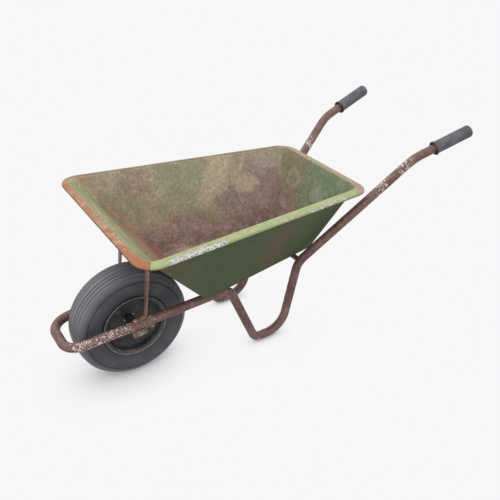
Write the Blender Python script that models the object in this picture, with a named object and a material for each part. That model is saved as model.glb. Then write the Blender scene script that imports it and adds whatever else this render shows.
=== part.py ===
"""Wheelbarrow: a frame bent from one steel tube, a pressed steel tray and a pneumatic wheel.

Run with: blender --background --python part.py

Metres. +X points forward, +Y to the user's left, +Z up.
Stations are lengths along the barrow from the axle, backwards negative, and heights are given
above the axle's. One empty carries everything, and puts the middle of the whole length over the
origin, on the floor.
"""

import math

import bmesh
import bpy
from mathutils import Matrix, Vector

GAP = 0.0003                     # kept between pieces that touch

# Wheel: a 4.80/4.00-8 barrow tyre on a rim of two bolted pressings
TYRE_RADIUS = 0.200
TYRE_WIDTH = 0.124
TYRE_WAIST_DROP = 0.047          # from the crown in to the tyre's widest place
AXLE_HEIGHT = TYRE_RADIUS
TYRE_WALL = 0.0055
TREAD_THICKNESS = 0.010
BEAD_SEAT_RADIUS = 0.1015        # where the tyre's beads sit on the rim
BEAD_WIDTH = 0.012
RIM_FLANGE_HEIGHT = 0.0105       # flange above the bead seat
RIM_INSET = 0.005                # each flange is this far inside the tyre's widest place
RIM_WIDTH = TYRE_WIDTH - 2 * RIM_INSET
RIM_SHEET = 0.002
RIM_DISC_RADIUS = 0.068          # flat middle of each pressing
RIM_BOLT_CIRCLE = 0.050          # radius
RIM_BOLT_COUNT = 4
INNER_TUBE_WALL = 0.002
VALVE_RADIUS = 0.004
VALVE_LENGTH = 0.038
VALVE_SIDE = -0.028              # the valve stands in the right pressing
VALVE_CAP_RADIUS = 0.0052

# Axle and hub
AXLE_RADIUS = 0.008
HUB_WALL = 0.0035
BUSH_WALL = 0.006
HUB_RADIUS = AXLE_RADIUS + BUSH_WALL + HUB_WALL
BUSH_LENGTH = 0.026
BUSH_FLANGE = 0.0022
BUSH_RUNNING_GAP = 0.0004
SPACER_LENGTH = 0.0065
SPACER_WALL = 0.0051
END_FLOAT = 0.0008               # between each bush and its spacer
AXLE_STUB = 0.006                # axle beyond its nut

# Frame tube
TUBE_RADIUS = 0.016
TUBE_WALL = 0.0018
LOOP_TYRE_GAP = 0.025            # between the tyre's crown and the loop
RAIL_TYRE_GAP = 0.005            # between the tyre's side and the loop's corners
LOOP_REACH = TYRE_RADIUS + LOOP_TYRE_GAP + TUBE_RADIUS
LOOP_HALF_WIDTH = TYRE_WIDTH / 2 + RAIL_TYRE_GAP + TUBE_RADIUS
LOOP_HEIGHT = AXLE_HEIGHT + TUBE_RADIUS + 0.0006
LEG_HALF_WIDTH = 0.140
KNEE = (-0.1194 - TYRE_RADIUS, AXLE_HEIGHT + TUBE_RADIUS + 0.0625)    # front knee, behind the tyre
FOOT_FRONT = -0.4248
FOOT_REAR = -0.5464
REAR_KNEE = (-0.6119, AXLE_HEIGHT + TUBE_RADIUS + 0.0673)
BEND_LOOP = 0.060
BEND_KNEE = 0.045
BEND_FOOT_FRONT = 0.040
BEND_FOOT_REAR = 0.085
BEND_REAR_KNEE = 0.090
BEND_HANDLE = 0.150
CROSSBAR_RADIUS = 0.010
CROSSBAR_WALL = 0.0015
CROSSBAR_STATION = REAR_KNEE[0] - 0.0160

# Grips
GRIP_LENGTH = 0.158
GRIP_WALL = 0.0065
GRIP_RADIUS = TUBE_RADIUS + GRIP_WALL
GRIP_COLLAR_RADIUS = GRIP_RADIUS + 0.003
GRIP_COLLAR_LENGTH = 0.007
GRIP_END_WALL = 0.008

# Tray, measured on its outside
TRAY_SHEET = 0.0015
FLOOR_BEHIND_TYRE = 0.010
FLOOR_FRONT = -TYRE_RADIUS - FLOOR_BEHIND_TYRE
FLOOR_REAR = -0.710
FLOOR_OVER_KNEE = 0.0175         # the floor reaches this far past the middle of each front knee
FLOOR_REAR_HALF_WIDTH = 0.0925
FLOOR_CORNER = 0.022
FLOOR_FILLET = 0.010             # run of the fillet on each side of the floor's edge
RIM_FRONT = (0.0442, AXLE_HEIGHT + 0.4083)  # front edge of the mouth, along and up
RIM_REAR = (-0.8036, AXLE_HEIGHT + 0.3709)
RIM_FRONT_HALF_WIDTH = 0.3201
RIM_REAR_HALF_WIDTH = 0.2200
RIM_CORNER = 0.036
LIP_OUT = 0.0315
LIP_DROP = 0.009
LIP_FILLET = 0.005

# Handles, which spread past the tray's rear corners: along, across and up
HANDLE_SPREAD = 0.0297
HANDLE_BEND = (-1.0246, RIM_REAR_HALF_WIDTH + HANDLE_SPREAD, AXLE_HEIGHT + 0.4346)
HANDLE_END = (-1.2487, HANDLE_BEND[1] + 0.0319, AXLE_HEIGHT + 0.4985)

# Axle brackets: an angle whose flange lies under the rail and whose web holds the axle
BRACKET_THICKNESS = 0.0045
WEB_INSIDE_BOLT = 0.0147         # the web's outer face is this far inboard of the front bolt
BRACKET_HALF_WIDTH = 0.026
BRACKET_TAIL = 0.047             # the flange runs on this far behind the axle
BRACKET_BELOW_AXLE = 0.022
BRACKET_REACH = 0.0115           # flange beyond its bolt
BRACKET_CORNER = 0.010
BRACKET_BOLT_FRONT = 0.0125
BRACKET_BOLT_REAR = -0.035

# Struts from the rails to the tray's front wall
STRUT_THICKNESS = 0.004
STRUT_WIDTH_FOOT = 0.016
STRUT_WIDTH_TOP = 0.030
STRUT_FOOT_FRONT = 0.024
STRUT_FOOT_REAR = -0.019
STRUT_TAB = 0.036                # length of the tab on the front wall
STRUT_BOLT_HEIGHT = AXLE_HEIGHT + 0.303
STRUT_BEND = 0.008

# Fasteners
BOLT_RADIUS = 0.004
BOLT_HEAD_RADIUS = BOLT_RADIUS + 0.005
BOLT_HEAD_HEIGHT = 0.0045
NUT_RADIUS = BOLT_RADIUS + 0.0035           # to the corners
NUT_HEIGHT = 0.0065
NUT_STUB = 0.004                 # bolt beyond its nut
AXLE_NUT_RADIUS = AXLE_RADIUS + 0.0058
AXLE_NUT_HEIGHT = 0.009
FLOOR_BOLT_INSET = 0.0055        # front floor bolts, inboard of the tube's middle
FLOOR_BOLT_REAR_OFFSET = 0.058   # rear floor bolts, from the middle

SIDES = ((1, "left"), (-1, "right"))
TUBE_SIDES = 12
WHEEL_SIDES = 24
HUB_SIDES = 16
BOLT_SIDES = 12
ARC_STEP = math.radians(20)


# ---------------------------------------------------------------- scene, materials, meshes

def clear_scene():
    for old in list(bpy.data.objects):
        bpy.data.objects.remove(old)


def material(name, colour, roughness, metallic):
    made = bpy.data.materials.new(name)
    made.use_nodes = True
    shader = made.node_tree.nodes["Principled BSDF"]
    shader.inputs["Base Color"].default_value = (*colour, 1.0)
    shader.inputs["Roughness"].default_value = roughness
    shader.inputs["Metallic"].default_value = metallic
    return made


def empty(name, location, parent=None):
    made = bpy.data.objects.new(name, None)
    bpy.context.scene.collection.objects.link(made)
    made.location = location
    made.parent = parent
    return made


def add_object(name, bm, finish, parent, closed=True):
    """Turns a bmesh into a named object with smooth round faces."""
    if closed:
        bmesh.ops.recalc_face_normals(bm, faces=bm.faces)
    mesh = bpy.data.meshes.new(name)
    bm.to_mesh(mesh)
    bm.free()
    mesh.shade_smooth()
    mesh.set_sharp_from_angle(angle=math.radians(35))
    made = bpy.data.objects.new(name, mesh)
    bpy.context.scene.collection.objects.link(made)
    made.parent = parent
    if finish:
        mesh.materials.append(finish)
    return made


def cutter(name, bm, parent):
    made = add_object(name, bm, None, parent)
    made.hide_render = True
    made.display_type = "WIRE"
    return made


def cut(target, *cutters):
    for tool in cutters:
        boolean = target.modifiers.new(tool.name, "BOOLEAN")
        boolean.operation = "DIFFERENCE"
        boolean.solver = "EXACT"
        boolean.object = tool


def solidify(target, thickness, offset):
    sheet = target.modifiers.new("sheet", "SOLIDIFY")
    sheet.thickness = thickness
    sheet.offset = offset
    sheet.use_even_offset = True


# ---------------------------------------------------------------- shapes

def round_bore(radius, sides):
    """Corner radius of a bore with flat facets that a round of this radius clears by the gap."""
    return (radius + GAP) / math.cos(math.pi / sides)


def spin(bm, profile, sides):
    """Spins points (along, radius) about Y. The first facet corner points straight down."""
    verts = [bm.verts.new((0, along, -radius)) for along, radius in profile]
    edges = [bm.edges.new(pair) for pair in zip(verts, verts[1:])]
    bmesh.ops.spin(bm, geom=verts + edges, cent=(0, 0, 0), axis=(0, 1, 0),
                   angle=2 * math.pi, steps=sides, use_merge=True)
    bmesh.ops.remove_doubles(bm, verts=bm.verts, dist=1e-6)
    bmesh.ops.dissolve_degenerate(bm, edges=bm.edges, dist=1e-6)


def turned(profile, sides, matrix=None, bm=None):
    """A solid turned about Y. Its profile either closes on itself or starts and ends on the axis."""
    bm = bm or bmesh.new()
    piece = bmesh.new()
    closed = profile if profile[0][1] == 0 else profile + profile[:1]
    spin(piece, closed, sides)
    if matrix:
        piece.transform(matrix)
    merge(bm, piece)
    return bm


def merge(bm, piece):
    """Adds one bmesh to another, as a separate solid."""
    moved = bpy.data.meshes.new("part")
    piece.to_mesh(moved)
    bm.from_mesh(moved)
    bpy.data.meshes.remove(moved)
    piece.free()


def ring_profile(start, end, inner, outer):
    return [(start, inner), (end, inner), (end, outer), (start, outer)]


def rod_profile(start, end, radius):
    return [(start, 0), (start, radius), (end, radius), (end, 0)]


def hex_nut(start, height, corner_radius, bore, matrix, bm):
    """A nut about Y. Its outline has a point at each corner and each flat, to match its bore."""
    flat_radius = corner_radius * math.cos(math.pi / 6)
    loops = []
    for along, bored in ((start, False), (start + height, False), (start + height, True), (start, True)):
        loop = []
        for step in range(BOLT_SIDES):
            radius = bore if bored else (flat_radius if step % 2 else corner_radius)
            turn = step * 2 * math.pi / BOLT_SIDES
            point = Vector((radius * math.sin(turn), along, radius * math.cos(turn)))
            loop.append(bm.verts.new(matrix @ point))
        loops.append(loop)
    for a, b in zip(loops, loops[1:] + loops[:1]):
        for k in range(BOLT_SIDES):
            bm.faces.new((a[k - 1], a[k], b[k], b[k - 1]))


def carriage_bolt(grip, matrix, bm):
    """A round-headed bolt along +Y: its head starts at 0 and it clamps pieces of this total length."""
    reach = grip + NUT_HEIGHT + NUT_STUB
    head = [(-BOLT_HEAD_HEIGHT, 0), (-BOLT_HEAD_HEIGHT * 0.8, BOLT_HEAD_RADIUS * 0.6),
            (-GAP, BOLT_HEAD_RADIUS), (-GAP, BOLT_RADIUS)]
    turned(head + [(reach, BOLT_RADIUS), (reach, 0)], BOLT_SIDES, matrix, bm)


def along(direction, point):
    """The matrix that stands a Y-aligned shape at a point, pointing in a direction."""
    turn = Vector((0, 1, 0)).rotation_difference(Vector(direction)).to_matrix().to_4x4()
    return Matrix.Translation(point) @ turn


def hole(name, direction, point, radius, length, parent):
    """A cutter: a round of this radius through a point, this long both ways."""
    bore = round_bore(radius, BOLT_SIDES)
    bm = turned(rod_profile(-length, length, bore), BOLT_SIDES, along(direction, point))
    return cutter(name, bm, parent)


def rounded_route(points, radii):
    """A polyline whose inner corners are arcs of the given radii."""
    route = [points[0]]
    for before, corner, after, radius in zip(points, points[1:], points[2:], radii):
        to_before = (before - corner).normalized()
        to_after = (after - corner).normalized()
        half = to_before.angle(to_after) / 2
        centre = corner + (to_before + to_after).normalized() * radius / math.sin(half)
        start = corner + to_before * radius / math.tan(half) - centre
        end = corner + to_after * radius / math.tan(half) - centre
        steps = max(2, round((math.pi - 2 * half) / ARC_STEP))
        route += [centre + start.slerp(end, k / steps).normalized() * radius for k in range(steps + 1)]
    return route + [points[-1]]


def sweep_rings(route, sides, up):
    """Unit rings square to a route, which is nowhere parallel to up. One corner points as far up as it can."""
    tangents = [(after - before).normalized() for before, after in
                zip(route[:1] + route[:-1], route[1:] + route[-1:])]
    rings = []
    for k, tangent in enumerate(tangents):
        normal = (up - tangent * up.dot(tangent)).normalized()
        side = tangent.cross(normal)
        stretch = mitre(route, k)
        ring = []
        for step in range(sides):
            turn = step * 2 * math.pi / sides
            offset = normal * math.cos(turn) + side * math.sin(turn)
            ring.append(offset + stretch * stretch.dot(offset))
        rings.append(ring)
    return rings


def mitre(route, k):
    """The stretch that keeps a tube's true radius where its route turns at a point."""
    if k in (0, len(route) - 1):
        return Vector((0, 0, 0))
    before = (route[k] - route[k - 1]).normalized()
    after = (route[k + 1] - route[k]).normalized()
    across = after - before
    if across.length < 1e-6:
        return Vector((0, 0, 0))
    widen = 1 / math.cos(before.angle(after) / 2) - 1
    return across.normalized() * math.sqrt(widen)


def swept_solid(route, radius, sides, up):
    bm = bmesh.new()
    rings = [[bm.verts.new(centre + offset * radius) for offset in ring]
             for centre, ring in zip(route, sweep_rings(route, sides, up))]
    join_rings(bm, rings)
    bm.faces.new(rings[0])
    bm.faces.new(rings[-1])
    return bm


def swept_tube(route, radius, wall, sides, up):
    bm = bmesh.new()
    shape = sweep_rings(route, sides, up)
    outer, inner = ([[bm.verts.new(centre + offset * size) for offset in ring]
                     for centre, ring in zip(route, shape)] for size in (radius, radius - wall))
    join_rings(bm, outer)
    join_rings(bm, inner)
    join_rings(bm, [outer[0], inner[0]])
    join_rings(bm, [outer[-1], inner[-1]])
    return bm


def join_rings(bm, rings):
    for a, b in zip(rings, rings[1:]):
        for k in range(len(a)):
            bm.faces.new((a[k - 1], a[k], b[k], b[k - 1]))


# ---------------------------------------------------------------- frame

def mirrored(point, side):
    return Vector((point[0], side * point[1], point[2]))


def rail_point(station, side=1):
    """The centreline of a front rail, which runs straight from the loop to the knee."""
    share = (LOOP_REACH - station) / (LOOP_REACH - KNEE[0])
    across = LOOP_HALF_WIDTH + share * (LEG_HALF_WIDTH - LOOP_HALF_WIDTH)
    up = LOOP_HEIGHT + share * (KNEE[1] - LOOP_HEIGHT)
    return Vector((station, side * across, up))


def bracket_web():
    """The outer face of the web, from the middle."""
    return rail_point(BRACKET_BOLT_FRONT).y - WEB_INSIDE_BOLT


def rail_slope():
    return (KNEE[1] - LOOP_HEIGHT) / (KNEE[0] - LOOP_REACH)


def frame_route():
    """The tube's centreline from the left handle's end, round the front loop, to the right one's."""
    corners = [
        (HANDLE_END, 0),
        (HANDLE_BEND, BEND_HANDLE),
        ((REAR_KNEE[0], LEG_HALF_WIDTH, REAR_KNEE[1]), BEND_REAR_KNEE),
        ((FOOT_REAR, LEG_HALF_WIDTH, TUBE_RADIUS), BEND_FOOT_REAR),
        ((FOOT_FRONT, LEG_HALF_WIDTH, TUBE_RADIUS), BEND_FOOT_FRONT),
        ((KNEE[0], LEG_HALF_WIDTH, KNEE[1]), BEND_KNEE),
        ((LOOP_REACH, LOOP_HALF_WIDTH, LOOP_HEIGHT), BEND_LOOP),
    ]
    left = [mirrored(point, 1) for point, _ in corners]
    right = [mirrored(point, -1) for point, _ in reversed(corners)]
    radii = [radius for _, radius in corners[1:]]
    return rounded_route(left + right, radii + radii[::-1])


def knee_crest():
    """Where the tube turns level in its front knee: (station, height of its centreline)."""
    slope = math.atan(-rail_slope())
    down = math.atan2(KNEE[1] - TUBE_RADIUS, KNEE[0] - FOOT_FRONT)
    run = BEND_KNEE * math.tan((slope + down) / 2)
    station = KNEE[0] + run * math.cos(slope) - BEND_KNEE * math.sin(slope)
    return station, KNEE[1] - run * math.sin(slope) + BEND_KNEE * (1 - math.cos(slope))


def floor_height():
    """Underside of the tray's floor, resting on the knees and on the crossbar."""
    return knee_crest()[1] + TUBE_RADIUS + GAP


def build_frame(parent, finish):
    route = frame_route()
    up = Vector((0, 0, 1))
    frame = add_object("frame_tube", swept_tube(route, TUBE_RADIUS, TUBE_WALL, TUBE_SIDES, up), finish, parent)
    clearance = cutter("frame_clearance", swept_solid(route, TUBE_RADIUS + GAP / math.cos(math.pi / TUBE_SIDES),
                                                      TUBE_SIDES, up), parent)
    return frame, clearance


def build_crossbar(parent, finish, clearance):
    """A short tube between the rear knees, coped to them, which carries the tray's floor."""
    bm = turned(ring_profile(-LEG_HALF_WIDTH, LEG_HALF_WIDTH, CROSSBAR_RADIUS - CROSSBAR_WALL, CROSSBAR_RADIUS),
                TUBE_SIDES)
    bar = add_object("crossbar", bm, finish, parent)
    bar.location = crossbar_centre()
    cut(bar, clearance)
    return bar


def crossbar_centre():
    return Vector((CROSSBAR_STATION, 0, floor_height() - GAP - CROSSBAR_RADIUS))


def build_grip(side, name, parent, finish):
    """A rubber sleeve over the handle's end, with a collar at its mouth and a domed end."""
    end, bend = mirrored(HANDLE_END, side), mirrored(HANDLE_BEND, side)
    mouth = GRIP_END_WALL - GRIP_LENGTH
    bore = round_bore(TUBE_RADIUS, HUB_SIDES)
    dome = [(GRIP_END_WALL - 0.006 * (1 - math.sin(turn)), GRIP_RADIUS - 0.006 * (1 - math.cos(turn)))
            for turn in (0, math.pi / 6, math.pi / 3, math.pi / 2)]
    profile = [(GAP, 0), (GAP, bore), (mouth, bore), (mouth, GRIP_COLLAR_RADIUS),
               (mouth + GRIP_COLLAR_LENGTH, GRIP_COLLAR_RADIUS), (mouth + GRIP_COLLAR_LENGTH, GRIP_RADIUS)]
    bm = turned(profile + dome + [(GRIP_END_WALL, 0)], HUB_SIDES, along(end - bend, end))
    return add_object(name, bm, finish, parent)


# ---------------------------------------------------------------- tray

def rounded_plan(front, rear, front_half, rear_half, corner):
    """A rounded trapezium in plan, as (point, outward normal) pairs, counter-clockwise from the front left."""
    corners = [Vector((front, -front_half, 0)), Vector((front, front_half, 0)),
               Vector((rear, rear_half, 0)), Vector((rear, -rear_half, 0))]
    steps = 4
    plan = []
    for k, point in enumerate(corners):
        before, after = corners[k - 1], corners[(k + 1) % 4]
        to_before, to_after = (before - point).normalized(), (after - point).normalized()
        half = to_before.angle(to_after) / 2
        centre = point + (to_before + to_after).normalized() * corner / math.sin(half)
        start = (point + to_before * corner / math.tan(half) - centre).normalized()
        end = (point + to_after * corner / math.tan(half) - centre).normalized()
        for step in range(steps + 1):
            normal = start.slerp(end, step / steps)
            plan.append((centre + normal * corner, normal))
    return plan


def floor_front_half_width():
    """Widens the floor from its rear edge so that it covers both front knees."""
    station = knee_crest()[0]
    growth = (LEG_HALF_WIDTH + FLOOR_OVER_KNEE - FLOOR_REAR_HALF_WIDTH) / (station - FLOOR_REAR)
    return FLOOR_REAR_HALF_WIDTH + growth * (FLOOR_FRONT - FLOOR_REAR)


def mouth_height(station):
    share = (station - RIM_REAR[0]) / (RIM_FRONT[0] - RIM_REAR[0])
    return RIM_REAR[1] + share * (RIM_FRONT[1] - RIM_REAR[1])


def tray_surface():
    """The tray's outside as one surface: floor, walls and the folded lip, with its bends bevelled."""
    bm = bmesh.new()
    floor = [bm.verts.new((p.x, p.y, floor_height())) for p, _ in
             rounded_plan(FLOOR_FRONT, FLOOR_REAR, floor_front_half_width(), FLOOR_REAR_HALF_WIDTH, FLOOR_CORNER)]
    mouth_plan = rounded_plan(RIM_FRONT[0], RIM_REAR[0], RIM_FRONT_HALF_WIDTH, RIM_REAR_HALF_WIDTH, RIM_CORNER)
    mouth = [bm.verts.new((p.x, p.y, mouth_height(p.x) - TRAY_SHEET)) for p, _ in mouth_plan]
    lip = [bm.verts.new((p + n * LIP_OUT) + Vector((0, 0, mouth_height(p.x) - LIP_DROP))) for p, n in mouth_plan]
    bm.faces.new(floor)
    join_rings(bm, [floor, mouth, lip])
    bm.edges.ensure_lookup_table()
    for loop, width, segments in ((floor, FLOOR_FILLET, 3), (mouth, LIP_FILLET, 2)):
        ends = set(loop)
        edges = [e for e in bm.edges if set(e.verts) <= ends]
        bmesh.ops.bevel(bm, geom=edges, offset=width, offset_type="OFFSET", segments=segments,
                        profile=0.5, affect="EDGES", clamp_overlap=True)
    return bm


def front_wall_normal():
    """Outward normal of the tray's flat front wall, forward and down."""
    rise = RIM_FRONT[1] - TRAY_SHEET - floor_height()
    return Vector((rise, 0, FLOOR_FRONT - RIM_FRONT[0])).normalized()


def front_wall_point(height, across):
    share = (height - floor_height()) / (RIM_FRONT[1] - TRAY_SHEET - floor_height())
    return Vector((FLOOR_FRONT + share * (RIM_FRONT[0] - FLOOR_FRONT), across, height))


def build_tray(parent, finish):
    outside = tray_surface()
    bmesh.ops.recalc_face_normals(outside, faces=outside.faces)
    if min(outside.faces, key=lambda f: f.calc_center_median().z).normal.z > 0:
        bmesh.ops.reverse_faces(outside, faces=outside.faces)
    tray = add_object("tray", outside, finish, parent, closed=False)
    solidify(tray, TRAY_SHEET, -1)
    return tray


# ---------------------------------------------------------------- struts and brackets

def strut_across():
    return rail_point(0).y


def rail_top(station):
    """Height of a piece lying on the rail, at its underside."""
    slope = math.atan(rail_slope())
    return rail_point(station).z + (TUBE_RADIUS + GAP) / math.cos(slope)


def strut_route():
    """Middle of the strut's thickness, seen from the side: foot, riser and tab."""
    half = STRUT_THICKNESS / 2
    normal = front_wall_normal()
    up_wall = Vector((-normal.z, 0, normal.x))
    on_wall = front_wall_point(STRUT_BOLT_HEIGHT, 0) + normal * (GAP + half)
    foot = [Vector((x, 0, rail_top(x) + half)) for x in (STRUT_FOOT_FRONT, STRUT_FOOT_REAR)]
    tab = [on_wall - up_wall * STRUT_TAB / 2, on_wall + up_wall * STRUT_TAB / 2]
    return rounded_route(foot + tab, [STRUT_BEND, STRUT_BEND])


def build_strut(side, name, parent, finish):
    """A flat strap, broader at its top, bent to lie on the rail and on the front wall."""
    route = strut_route()
    bm = bmesh.new()
    span = route[-1].z - route[0].z
    edges = []
    for point in route:
        share = min(1.0, max(0.0, (point.z - route[0].z) / span))
        half = (STRUT_WIDTH_FOOT + share * (STRUT_WIDTH_TOP - STRUT_WIDTH_FOOT)) / 2
        edges.append([bm.verts.new(point + Vector((0, side * strut_across() + half * way, 0))) for way in (-1, 1)])
    for (a, b), (c, d) in zip(edges, edges[1:]):
        bm.faces.new((a, b, d, c))
    strut = add_object(name, bm, finish, parent)
    solidify(strut, STRUT_THICKNESS, 0)
    return strut


def rail_tilt():
    """Turns a shape about the axle so that it lies along the rail."""
    return Matrix.Translation((0, 0, TYRE_RADIUS)) @ Matrix.Rotation(-math.atan(rail_slope()), 4, "Y")


def flange_height():
    """Top of the bracket's flange above the axle, square to the rail."""
    slope = math.atan(rail_slope())
    return (rail_point(0).z - TYRE_RADIUS) * math.cos(slope) - TUBE_RADIUS - GAP


def build_bracket(side, name, parent, finish):
    """An angle: its flange lies under the rail, and its web hangs down with the axle's hole."""
    top = flange_height()
    edge = rail_point(BRACKET_BOLT_FRONT).y + BRACKET_REACH
    stations = (-BRACKET_TAIL, -BRACKET_HALF_WIDTH, BRACKET_HALF_WIDTH)
    across = (bracket_web() - BRACKET_THICKNESS, bracket_web(), edge)
    bm = bmesh.new()
    levels = [[[bm.verts.new((x, side * y, z)) for y in across] for x in stations]
              for z in (top, top - BRACKET_THICKNESS)]
    for grid in levels:
        for i in (0, 1):
            for j in (0, 1):
                if grid is levels[1] and (i, j) == (1, 0):
                    continue
                bm.faces.new((grid[i][j], grid[i + 1][j], grid[i + 1][j + 1], grid[i][j + 1]))
    upper, lower = ([g[0][0], g[1][0], g[2][0], g[2][1], g[2][2], g[1][2], g[0][2], g[0][1]] for g in levels)
    join_rings(bm, [upper, lower])
    grid = levels[1]
    mouth = [grid[1][0], grid[2][0], grid[2][1], grid[1][1]]
    foot = [bm.verts.new((v.co.x, v.co.y, -BRACKET_BELOW_AXLE)) for v in mouth]
    join_rings(bm, [mouth, foot])
    bm.faces.new(foot)
    corners = [e for e in bm.edges if set(e.verts) in ({foot[0], foot[3]}, {foot[1], foot[2]})]
    bmesh.ops.bevel(bm, geom=corners, offset=BRACKET_CORNER, offset_type="OFFSET", segments=3,
                    profile=0.5, affect="EDGES")
    bm.transform(rail_tilt())
    bracket = add_object(name, bm, finish, parent)
    bore = hole(name + "_axle_hole", (0, 1, 0), (0, side * bracket_web(), TYRE_RADIUS), AXLE_RADIUS, 0.02, parent)
    cut(bracket, bore)
    return bracket


# ---------------------------------------------------------------- fasteners

def strut_top_bolts():
    """Bolts through the front wall, as (label, side, inside point, direction, clamped length)."""
    normal = front_wall_normal()
    for side, label in SIDES:
        inside = front_wall_point(STRUT_BOLT_HEIGHT, side * strut_across()) - normal * TRAY_SHEET
        yield label, side, inside, normal, TRAY_SHEET + GAP + STRUT_THICKNESS


def bracket_bolts():
    """Bolts square through the rail and the bracket's flange. The front ones hold the strut's foot too."""
    slope = math.atan(rail_slope())
    down = Vector((math.sin(slope), 0, -math.cos(slope)))
    rail = 2 * TUBE_RADIUS + GAP + BRACKET_THICKNESS
    for side, label in SIDES:
        for place, station, extra in (("front", BRACKET_BOLT_FRONT, GAP + STRUT_THICKNESS),
                                      ("rear", BRACKET_BOLT_REAR, 0)):
            top = rail_point(station, side) - down * (TUBE_RADIUS + extra)
            yield place + "_" + label, side, top, down, rail + extra


def floor_bolts():
    """Bolts down through the floor: two into the tube's knees, two into the crossbar."""
    inside = floor_height() + TRAY_SHEET
    station, centre = knee_crest()
    hollow = BEND_KNEE - TUBE_RADIUS
    saddle = hollow - math.sqrt(hollow ** 2 - NUT_RADIUS ** 2)     # the knee's hollow side, under the nut
    bar = crossbar_centre()
    for side, label in SIDES:
        knee = Vector((station, rail_point(station, side).y - side * FLOOR_BOLT_INSET, inside))
        yield "front_" + label, side, knee, Vector((0, 0, -1)), inside - centre + TUBE_RADIUS + saddle
        rear = Vector((bar.x, side * FLOOR_BOLT_REAR_OFFSET, inside))
        yield "rear_" + label, side, rear, Vector((0, 0, -1)), inside - bar.z + CROSSBAR_RADIUS


def build_bolts(name, places, parent, finish, targets):
    """Carriage bolts, their nuts, and the holes they need in the pieces they pass."""
    for label, side, point, direction, clamped in places:
        matrix = along(direction, point)
        bolt, nut = bmesh.new(), bmesh.new()
        carriage_bolt(clamped, matrix, bolt)
        hex_nut(clamped + GAP, NUT_HEIGHT, NUT_RADIUS, round_bore(BOLT_RADIUS, BOLT_SIDES), matrix, nut)
        add_object(f"{name}_bolt_{label}", bolt, finish, parent)
        add_object(f"{name}_nut_{label}", nut, finish, parent)
        for target in targets(label, side):
            cut(target, hole(f"{target.name}_{name}_hole_{label}", direction, point, BOLT_RADIUS,
                             clamped + 0.02, parent))


# ---------------------------------------------------------------- axle

def build_axle(parent, finish):
    """The fixed axle with a spacer and a nut at each end."""
    plate_out = bracket_web()
    plate_in = plate_out - BRACKET_THICKNESS
    half = plate_out + GAP + AXLE_NUT_HEIGHT + AXLE_STUB
    axle = add_object("axle", turned(rod_profile(-half, half, AXLE_RADIUS), HUB_SIDES), finish, parent)
    axle.location = (0, 0, TYRE_RADIUS)
    bore = round_bore(AXLE_RADIUS, BOLT_SIDES)
    for side, name in SIDES:
        nut = bmesh.new()
        place = along((0, side, 0), (0, 0, TYRE_RADIUS))
        hex_nut(plate_out + GAP, AXLE_NUT_HEIGHT, AXLE_NUT_RADIUS, bore, place, nut)
        add_object("axle_nut_" + name, nut, finish, parent)
        sleeve = ring_profile(plate_in - GAP - SPACER_LENGTH, plate_in - GAP,
                              round_bore(AXLE_RADIUS, HUB_SIDES), AXLE_RADIUS + SPACER_WALL)
        add_object("axle_spacer_" + name, turned(sleeve, HUB_SIDES, place), finish, parent)


def build_hub(parent, finish, bush_finish):
    """The hub tube, and a flanged bush pressed into each of its ends."""
    half = (bracket_web() - BRACKET_THICKNESS - GAP - SPACER_LENGTH - END_FLOAT) - BUSH_FLANGE - GAP
    inner = HUB_RADIUS - HUB_WALL
    bm = turned(ring_profile(-half, half, inner, HUB_RADIUS), HUB_SIDES)
    add_object("hub_tube", bm, finish, parent)
    outer = inner * math.cos(math.pi / HUB_SIDES) - GAP
    bore = (AXLE_RADIUS + BUSH_RUNNING_GAP) / math.cos(math.pi / HUB_SIDES)
    sleeve = [(half - BUSH_LENGTH, bore), (half + GAP + BUSH_FLANGE, bore), (half + GAP + BUSH_FLANGE, HUB_RADIUS),
              (half + GAP, HUB_RADIUS), (half + GAP, outer), (half - BUSH_LENGTH, outer)]
    for side, name in SIDES:
        place = along((0, side, 0), (0, 0, 0))
        add_object("bush_" + name, turned(sleeve, HUB_SIDES, place), bush_finish, parent)


# ---------------------------------------------------------------- wheel

def rim_profile(side):
    """Middle of one pressing's sheet: disc, drop well, bead seat and flange."""
    half = RIM_WIDTH / 2
    disc = RIM_SHEET / 2 + GAP
    seat = BEAD_SEAT_RADIUS - RIM_SHEET / 2
    flange = BEAD_SEAT_RADIUS + RIM_FLANGE_HEIGHT
    seat_end = half - 0.0035
    outline = [
        (disc, HUB_RADIUS + GAP + RIM_SHEET / 2), (disc, RIM_DISC_RADIUS), (disc + 0.006, RIM_DISC_RADIUS + 0.007),
        (0.022, seat - 0.012), (0.034, seat - 0.0015), (seat_end - 0.003, seat), (seat_end, seat + 0.003),
        (seat_end + 0.0005, flange - 0.004), (half, flange - 0.001), (half + 0.003, flange),
    ]
    return [(side * across, radius) for across, radius in outline]


def tyre_arc(half_width, top, waist, low, squareness, start, end, steps):
    """A swollen section: the widest place is at the waist, and the top is squarer than a circle."""
    arc = []
    for k in range(steps + 1):
        turn = start + (end - start) * k / steps
        across = math.copysign(abs(math.sin(turn)) ** squareness, turn) * half_width
        rise = math.cos(turn)
        radius = waist + (top - waist) * rise ** squareness if rise >= 0 else waist + (waist - low) * rise
        arc.append((across, radius))
    return arc


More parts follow.
